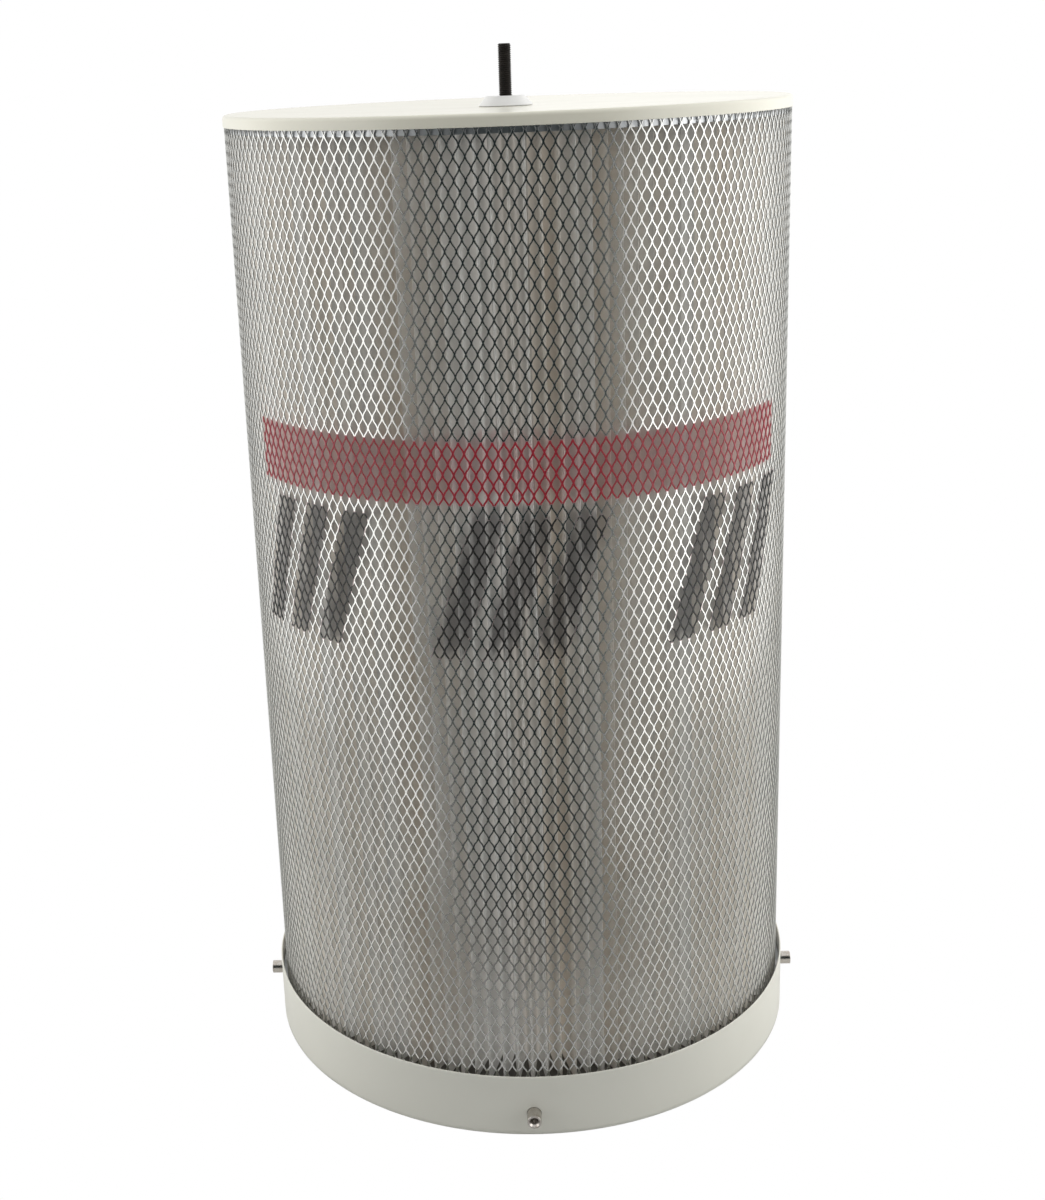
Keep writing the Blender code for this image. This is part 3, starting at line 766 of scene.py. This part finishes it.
@dataclass
class Sleeve:
    """Expanded metal sleeve: rows of upright diamonds, with flat outer faces and bevelled sides."""

    columns: int = 172
    rows: int = 47
    sectors: int = 8
    depth: float = 0.0012
    face: float = 0.00048
    edge: float = 0.00075
    bow: float = 0.80
    side_bond: Span = (0.00060, 0.00088)
    tip_bond: Span = (0.00160, 0.00210)
    widest: float = 0.45
    merge: float = 1e-5

    def outline(self, width: float, pitch: float) -> tuple[np.ndarray, np.ndarray]:
        """Middle line of the strands round one diamond, and the way into its opening.

        A strand runs from a side corner to a tip: upward by half a pitch and sideways by half
        a column, the sideways part eased by a cosine so that it leaves both bonds nearly
        upright. Each quarter has its corner and the points at one and two thirds.

        Args:
            width: distance between columns.
            pitch: distance between rows.

        Returns:
            Twelve places about the diamond's centre, and twelve unit steps inward.
        """
        t = np.array([0.0, 1.0, 2.0]) / 3
        eased = self.bow * (1 - np.cos(math.pi * t)) / 2 + (1 - self.bow) * t
        slope = self.bow * math.pi / 2 * np.sin(math.pi * t) + (1 - self.bow)
        side, up = width / 2 * (1 - eased), pitch / 2 * t
        inward = np.stack([0 * t - pitch / 2, -slope * width / 2], -1)
        inward /= np.linalg.norm(inward, axis=1, keepdims=True)
        quarter = np.stack([side, up], -1)
        tip = np.array([0.0, pitch / 2])
        later, later_in = quarter[:0:-1], inward[:0:-1]
        half = np.concatenate([quarter, [tip], later * [-1, 1]])
        half_in = np.concatenate([inward, [[0, -1]], later_in * [-1, 1]])
        half_in[0] = (-1, 0)
        return np.concatenate([half, -half]), np.concatenate([half_in, -half_in])

    def sector(self, first: int, last: int) -> tuple[np.ndarray, np.ndarray]:
        """Points and faces for all the diamonds that start in a range of columns.

        Every diamond has twelve outline points. The outline points, front and back, are
        shared with its neighbours; two rings of its own lie between them: border of the flat
        face, and widest part. Where a diamond of this sector has no neighbour, a wall joins
        the front outline to the back one. A place (u, v) on the unrolled sleeve lies at angle
        u / radius and at height low + v.

        Args:
            first: first column.
            last: column after the last.

        Returns:
            Points and faces.
        """
        outer, low, _, tall = size_of("outer_mesh")
        pitch = tall / (self.rows + 0.5)
        width = TURN * outer / self.columns
        column, row = np.meshgrid(np.arange(first, last), np.arange(self.rows), indexing="ij")
        centres = np.stack([column.ravel(), row.ravel()], -1)
        centres = np.concatenate([centres + 0.5, centres + 1.0]) * [width, pitch]
        shape, inward = self.outline(width, pitch)
        corners = len(shape)
        plan = centres[:, None, :] + shape[None]
        keys = np.rint(plan.reshape(-1, 2) / self.merge).astype(np.int64)
        single = keys[:, 0] * (10 * keys.max()) + keys[:, 1]
        _, chosen, number = np.unique(single, return_index=True, return_inverse=True)
        number = number.reshape(-1, corners)
        shared = plan.reshape(-1, 2)[chosen]
        layers = [(shared, 0.0)]
        sides, tips = slice(0, None, corners // 2), slice(corners // 4, None, corners // 2)
        for ring, level in enumerate((0.0, self.widest)):
            steps = inward * (self.face, self.edge)[ring]
            steps[sides] = inward[sides] * self.side_bond[ring]
            steps[tips] = inward[tips] * self.tip_bond[ring]
            layers.append(((plan + steps).reshape(-1, 2), level))
        layers.append((shared, 1.0))
        points, starts, total = [], [], 0
        for places, level in layers:
            angle = places[:, 0] / outer
            radius = outer - level * self.depth
            x, y = radius * np.sin(angle), -radius * np.cos(angle)
            points.append(np.stack([x, y, low + places[:, 1]], -1))
            starts.append(total)
            total += len(places)
        own = np.arange(number.size).reshape(-1, corners)
        rings = [number, own + starts[1], own + starts[2], number + starts[3]]
        faces = [np.stack([a, np.roll(a, -1, 1), np.roll(b, -1, 1), b], -1).reshape(-1, 4)
                 for a, b in zip(rings[:-1], rings[1:])]
        faces.append(self.walls(number, 0, starts[3]))
        return np.concatenate(points), np.concatenate(faces)

    @staticmethod
    def walls(number: np.ndarray, front: int, back: int) -> np.ndarray:
        """Faces that close the outline wherever only one diamond uses a stretch of it.

        Args:
            number: outline point of each corner of each diamond.
            front: number of the first outline point of the front.
            back: the same for the back.

        Returns:
            Four vertex numbers for each wall.
        """
        here, there = number.ravel(), np.roll(number, -1, 1).ravel()
        key = np.minimum(here, there) * (number.max() + 1) + np.maximum(here, there)
        _, place, uses = np.unique(key, return_inverse=True, return_counts=True)
        alone = uses[place] == 1
        a, b = here[alone], there[alone]
        return np.stack([b + front, a + front, a + back, b + back], -1)

    def build(self) -> None:
        """Build the sleeve in upright sectors that meet along the middle of the strands."""
        limits = [round(k * self.columns / self.sectors) for k in range(self.sectors + 1)]
        for k in range(self.sectors):
            points, quads = self.sector(limits[k], limits[k + 1])
            piece(f"sleeve_sector_{k + 1}", points, quads, SLEEVE_STEEL, CANISTER, ("outer_mesh",),
                  45)


@dataclass
class FoldedMedia:
    """The pleated sheet, with round folds that wander a little along their height."""

    folds: int = 120
    samples: int = 14
    rows: int = 27
    inner: float = 0.1980
    sheet: float = 0.0007
    sharp: float = 0.985
    crowding: float = 0.07
    wander: float = 0.0009
    seed: int = 7

    def build(self) -> None:
        """Build both skins of the sheet and close them at the two ends.

        The sheet's middle line at q folds round has the radius middle + reach * wave, where
        wave is a rounded triangle, arcsin(sharp * cos(2 pi q)) / arcsin(sharp), with its points
        crowded towards the bends. Each skin lies half a sheet square to that line.
        """
        outer, low, high, _ = size_of("pleated_media")
        count = self.folds * self.samples
        q = np.arange(count) / self.samples
        phase = q - self.crowding * np.sin(2 * TURN * q)
        wave = np.arcsin(self.sharp * np.cos(TURN * phase)) / math.asin(self.sharp)
        middle = (outer + self.inner) / 2
        reach = (outer - self.inner - self.sheet) / 2
        radius = middle + reach * wave
        angle = TURN * phase / self.folds
        heights = np.linspace(low, high, self.rows)
        shift = self.wandering(q, heights) * ((wave[None] + 1) / 2)
        turned_angle = angle[None] + shift / middle
        path = np.stack([radius * np.sin(turned_angle), -radius * np.cos(turned_angle)], -1)
        along = np.roll(path, -1, 1) - np.roll(path, 1, 1)
        square = np.stack([along[..., 1], -along[..., 0]], -1)
        square /= np.linalg.norm(square, axis=-1, keepdims=True)
        skins = []
        for side in (1, -1):
            flat = path + side * self.sheet / 2 * square
            tall = np.broadcast_to(heights[:, None, None], (self.rows, count, 1))
            rings = np.concatenate([flat, tall], -1)
            skins.append(rings if side > 0 else rings[::-1])
        points = np.concatenate(skins).reshape(-1, 3)
        quads = wrapped(count, 2 * self.rows, True)
        piece("folded_media", points, quads, MEDIA, CANISTER, ("pleated_media",),
              60)

    def wandering(self, q: np.ndarray, heights: np.ndarray) -> np.ndarray:
        """Sideways shift of each fold: three slow waves with random phases, nothing at the ends.

        Args:
            q: place along the sheet, in folds.
            heights: the rows' heights.

        Returns:
            One shift in metres for each row and each place.
        """
        random = np.random.default_rng(self.seed)
        t = (heights - heights[0]) / (heights[-1] - heights[0])
        fold = np.floor(q + 0.5).astype(int) % self.folds
        total = np.zeros((len(heights), len(q)))
        for waves in (1.0, 2.3, 4.1):
            phase = random.uniform(0, TURN, self.folds)[fold]
            size = random.uniform(0.2, 1.0, self.folds)[fold] / waves
            total += size * np.sin(TURN * waves * t[:, None] + phase)
        ends = np.clip(np.minimum(t, 1 - t) * 12, 0, 1)[:, None]
        return self.wander * total * ends


@dataclass
class BaseRing:
    """Enamel ring with its four threaded bosses."""

    wall: float = 0.0015
    facets: int = 288
    boss_radius: float = 0.0064
    bore: float = 0.00335
    mouth: float = 0.00485
    thread_pitch: float = 0.00125
    thread_depth: float = 0.00045
    flange: float = 0.0030
    flange_radius: float = 0.0090
    chamfer: float = 0.0004
    gap: float = 0.0003
    plug: float = 0.014
    crease: float = 50.0

    def build(self) -> None:
        """Build the ring with its holes, then a boss in each."""
        outer, low, high, _ = size_of("base_ring")
        inner, half, cut = outer - self.wall, self.wall / 2, self.chamfer
        upward = np.linspace(low + 10 * cut, high - 10 * cut, 8)
        profile = [(outer, low + cut)]
        profile += [(outer, z) for z in upward]
        profile += arc((outer - half, high - half), half, 0, 180, 9)
        profile += [(inner, z) for z in upward[::-1]]
        profile += [(inner, low + cut), (inner + cut, low), (outer - cut, low)]
        points, quads = turned(np.array(profile), self.facets)
        ring = piece("clamp_ring", points, quads, ENAMEL, CANISTER, ("base_ring",),
                     self.crease)
        hole = self.boss_radius + self.gap
        plug = np.array([(0, 0), (hole, 0), (hole, self.plug), (0, self.plug)])
        cutters = []
        for side, direction in self.directions().items():
            points, quads = turned(plug, 48)
            start = self.boss_height(side) + direction * (inner - 0.005)
            cutters.append((placed(points, direction, start), quads))
            self.build_boss(side, direction)
        drilled(ring, cutters, self.crease)

    @staticmethod
    def directions() -> dict[str, Vector]:
        """Outward direction of each boss."""
        return {"front": Vector((0, -1, 0)), "right": Vector((1, 0, 0)),
                "back": Vector((0, 1, 0)), "left": Vector((-1, 0, 0))}

    @staticmethod
    def boss_height(side: str) -> Vector:
        """The place on the canister's axis that is level with a boss."""
        low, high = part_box("clamp_boss_" + side)
        return Vector((0, 0, (low.z + high.z) / 2))

    def build_boss(self, side: str, direction: Vector) -> None:
        """Turn one boss: inner flange, barrel, rounded end, countersink, threaded hole."""
        low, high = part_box("clamp_boss_" + side)
        reach = max(abs(v) for v in (low.x, low.y, high.x, high.y))
        start = min(abs(low.dot(direction)), abs(high.dot(direction)))
        length, flange, r = reach - start, self.flange, self.boss_radius
        rim, cut, rounding = self.flange_radius, self.chamfer, 0.0006
        thread = np.arange(length - 0.0016, rounding, -self.thread_pitch / 4)
        depth = self.thread_depth * np.abs(((thread / self.thread_pitch) % 1.0) * 2 - 1)
        profile = [(self.bore + cut, 0), (rim - cut, 0), (rim, cut), (rim, flange), (r, flange)]
        profile += [(r, z) for z in np.linspace(flange + 0.001, length - 0.001, 6)]
        profile += arc((r - rounding, length - rounding), rounding, 10, 90, 5)
        profile += [(self.mouth, length), (self.mouth - cut / 2, length - cut / 2)]
        profile += list(zip(self.bore + depth, thread))
        points, quads = turned(np.array(profile), 64)
        origin = self.boss_height(side) + direction * start
        piece(f"boss_{side}", placed(points, direction, origin), quads, ZINC, CANISTER,
              ("clamp_boss_" + side,), 30)


# ---- Pleat cleaner ----
@dataclass
class Shaft:
    """Round shaft whose top end carries an M12 thread."""

    pitch: float = 0.00175
    thread_depth: float = 0.00085
    thread_start: float = 0.880
    thread_fade: float = 0.003
    chamfer: float = 0.0012
    facets: int = 48
    rows_per_turn: int = 8

    def build(self) -> None:
        """Build the plain bar and the thread as one surface.

        The radius at angle a and height z is the bar's, less a groove: depth times a
        flattened triangle wave of z / pitch - a / 2 pi, faded in at the thread's start and
        limited by the chamfer at the tip.
        """
        outer, low, high, _ = size_of("agitator_shaft")
        bar = np.linspace(low + 0.01, self.thread_start - self.thread_fade, 20)
        plain = np.concatenate([[low, low + self.chamfer], bar])
        cut = np.arange(self.thread_start - 0.002, high, self.pitch / self.rows_per_turn)
        heights = np.concatenate([plain, cut[cut < high - 0.0001], [high]])
        angle = np.arange(self.facets) * TURN / self.facets
        turns = heights[:, None] / self.pitch - angle[None] / TURN
        triangle = np.abs((turns % 1.0) * 2 - 1)
        groove = np.clip(triangle * 1.35 - 0.15, 0, 1) * self.thread_depth
        fade = np.clip((heights - self.thread_start) / self.thread_fade, 0, 1)[:, None]
        from_end = np.minimum(heights - low, high - heights)
        limit = np.minimum(outer, outer - self.chamfer + from_end)[:, None]
        radius = np.minimum(outer - groove * fade, limit)
        x, y, z = radius * np.sin(angle), -radius * np.cos(angle), heights[:, None] + 0 * angle
        points = np.stack([x, y, z], -1).reshape(-1, 3)
        points = np.concatenate([points, [[0, 0, low], [0, 0, high]]])
        quads = wrapped(self.facets, len(heights), False)
        k = np.arange(self.facets)
        after, bottom, top = (k + 1) % self.facets, len(points) - 2, len(points) - 1
        last = (len(heights) - 1) * self.facets
        lower = np.stack([after, k, 0 * k + bottom, 0 * k + bottom], -1)
        upper = np.stack([k + last, after + last, 0 * k + top, 0 * k + top], -1)
        piece("shaft", points, np.concatenate([quads, lower, upper]), BLACK_OXIDE, CLEANER,
              ("agitator_shaft",), 42)


@dataclass
class InnerParts:
    """Solids of the frame that stay as they are and get a finish."""

    by_slot: dict[str, Finish] = field(default_factory=lambda: {
        "cream_paint": ENAMEL, "galvanised_steel": GALVANISED, "spunbond_media": MEDIA,
        "urethane_potting": URETHANE, "foam_rubber": FOAM, "white_nylon": NYLON,
        "black_oxide_steel": BLACK_OXIDE, "zinc_plated_steel": ZINC,
        "flapper_plastic": FLAP_PLASTIC})

    def dress(self) -> None:
        """Give every solid of the frame the finish of its slot."""
        for part in frame["record"]["subparts"]:
            node = frame["nodes"][part["node"]]
            finish = self.by_slot[part["material_slot"]]
            node.data.materials.clear()
            node.data.materials.append(finish.material())
            log.info("%s: %s", part["node"], finish.name)


# ---- Studio ----
@dataclass
class Studio:
    """Pale floor, bright sides and top, dark room behind the camera, and the camera itself."""

    floor_low: Span = (-1.1, -0.64)
    floor_high: Span = (1.1, 1.6)
    lens: float = 49.03
    distance: float = 1.5069
    height: float = 0.9245
    yaw: float = -2.333
    pitch: float = 16.559
    roll: float = -2.279
    shift: Span = (0.0568, -0.0457)
    sensor: float = 36.0
    clip: Span = (0.01, 60.0)
    floor_near: float = -0.30
    floor_dark: Colour = (0.02, 0.02, 0.02)
    floor_middle: Colour = (0.64, 0.64, 0.64)
    floor_sides: Colour = (0.93, 0.93, 0.91)
    front_end: Span = (42.0, 58.0)
    low_narrowing: float = 16.0
    ceiling_start: Span = (22.0, 42.0)
    ceiling_setback: float = 24.0
    ceiling_light: float = 0.82
    wall_light: float = 1.05
    wall_gain: float = 0.63
    top_loss: float = 0.88
    back_loss: float = 0.45
    right_gain: float = 0.20
    shadow: Colour = (0.012, 0.020, 0.022)
    daylight: Colour = (1.0, 0.995, 0.975)

    def build(self) -> None:
        """Build the floor, the surrounding light and the camera."""
        self.build_camera()
        self.build_floor()
        self.build_surroundings()
        bpy.context.scene.view_settings.view_transform = "Standard"

    def build_camera(self) -> None:
        """Place the camera in front of the canister, turned by yaw, tilted by pitch and rolled."""
        yaw, pitch, roll = (math.radians(a) for a in (self.yaw, self.pitch, self.roll))
        flat = math.cos(pitch)
        ahead = Vector((math.sin(yaw) * flat, math.cos(yaw) * flat, -math.sin(pitch)))
        level = Vector((math.cos(yaw), -math.sin(yaw), 0))
        upright = level.cross(ahead)
        right = level * math.cos(roll) + upright * math.sin(roll)
        up = upright * math.cos(roll) - level * math.sin(roll)
        data = bpy.data.cameras.new("camera")
        data.lens, data.sensor_width = self.lens, self.sensor
        data.shift_x, data.shift_y = self.shift
        data.clip_start, data.clip_end = self.clip
        camera = linked("camera", data)
        turn = Matrix((right, up, -ahead)).transposed().to_4x4()
        camera.matrix_world = Matrix.Translation((0, -self.distance, self.height)) @ turn
        bpy.context.scene.camera = camera

    def build_floor(self) -> None:
        """Lay a pale matt floor that fades out in front, and that only lights the canister."""
        (left, front), (right, back) = self.floor_low, self.floor_high
        mesh = bpy.data.meshes.new("floor")
        corners = [(left, front, 0), (right, front, 0), (right, back, 0), (left, back, 0)]
        mesh.from_pydata(corners, [], [(0, 1, 2, 3)])
        made = bpy.data.materials.new("pale_floor")
        made.use_nodes = True
        tree = Tree(made.node_tree)
        aside, depth, _ = tree.split(tree.object_place())
        pale = tree.colour(abs(aside).rise(0.12, 0.42), self.floor_middle, self.floor_sides)
        near = depth.rise(front, self.floor_near).math("MAXIMUM", abs(aside).rise(0.16, 0.48))
        colour = tree.colour(near, self.floor_dark, pale)
        shader = tree.node("ShaderNodeBsdfPrincipled", inputs={
            "Base Color": colour, "Roughness": 0.9, "Specular IOR Level": 0.0})
        tree.node("ShaderNodeOutputMaterial", inputs={"Surface": shader.outputs[0]})
        mesh.materials.append(made)
        floor = linked("floor", mesh)
        floor.visible_camera = False

    def build_surroundings(self) -> None:
        """White walls at the sides, a bright ceiling, a white backdrop and a dark front.

        Angles are in degrees: from the front about the canister, and above the horizon.
        """
        world = bpy.data.worlds.new("studio")
        world.use_nodes = True
        bpy.context.scene.world = world
        tree = Tree(world.node_tree)
        direction = tree.node("ShaderNodeTexCoord").outputs["Generated"]
        angle, level, height = tree.around(direction)
        elevation = tree.math("ARCTAN2", height, level) * math.degrees(1)
        narrowed = abs(angle) + elevation.rise(-16.0, -34.0) * self.low_narrowing
        sides = narrowed.rise(*self.front_end)
        raised = elevation - abs(angle).rise(90.0, 50.0) * self.ceiling_setback
        ceiling = raised.rise(*self.ceiling_start) * self.ceiling_light
        low_walls = self.wall_light + elevation.rise(-38.0, -14.0) * self.wall_gain
        walls = low_walls - elevation.rise(30.0, 60.0) * self.top_loss
        behind = 1 - abs(angle).rise(115.0, 155.0) * self.back_loss
        rightward = 1.0 + angle.rise(-40.0, 40.0) * self.right_gain
        lit = (sides * walls * behind * rightward).math("MAXIMUM", ceiling)
        white = tree.colour(lit.rise(0.0, 0.3), self.shadow, self.daylight)
        strength = lit + (1 - lit.rise(0.0, 1.0))
        surroundings = tree.node("ShaderNodeBackground", inputs={0: white, 1: strength})
        backdrop = tree.node("ShaderNodeBackground", inputs={0: (1, 1, 1, 1), 1: 1.0})
        seen = tree.node("ShaderNodeLightPath").outputs["Is Camera Ray"]
        mixed = tree.node("ShaderNodeMixShader", inputs={
            0: seen, 1: surroundings.outputs[0], 2: backdrop.outputs[0]})
        tree.node("ShaderNodeOutputWorld", inputs={"Surface": mixed.outputs[0]})


def main() -> None:
    """Build everything in order."""
    logging.basicConfig(level=logging.INFO, format="%(name)s %(message)s")
    Studio().build()
    InnerParts().dress()
    for assembly in (Lid(), Sleeve(), FoldedMedia(), BaseRing(), Shaft()):
        assembly.build()


if __name__ == "__main__":
    main()
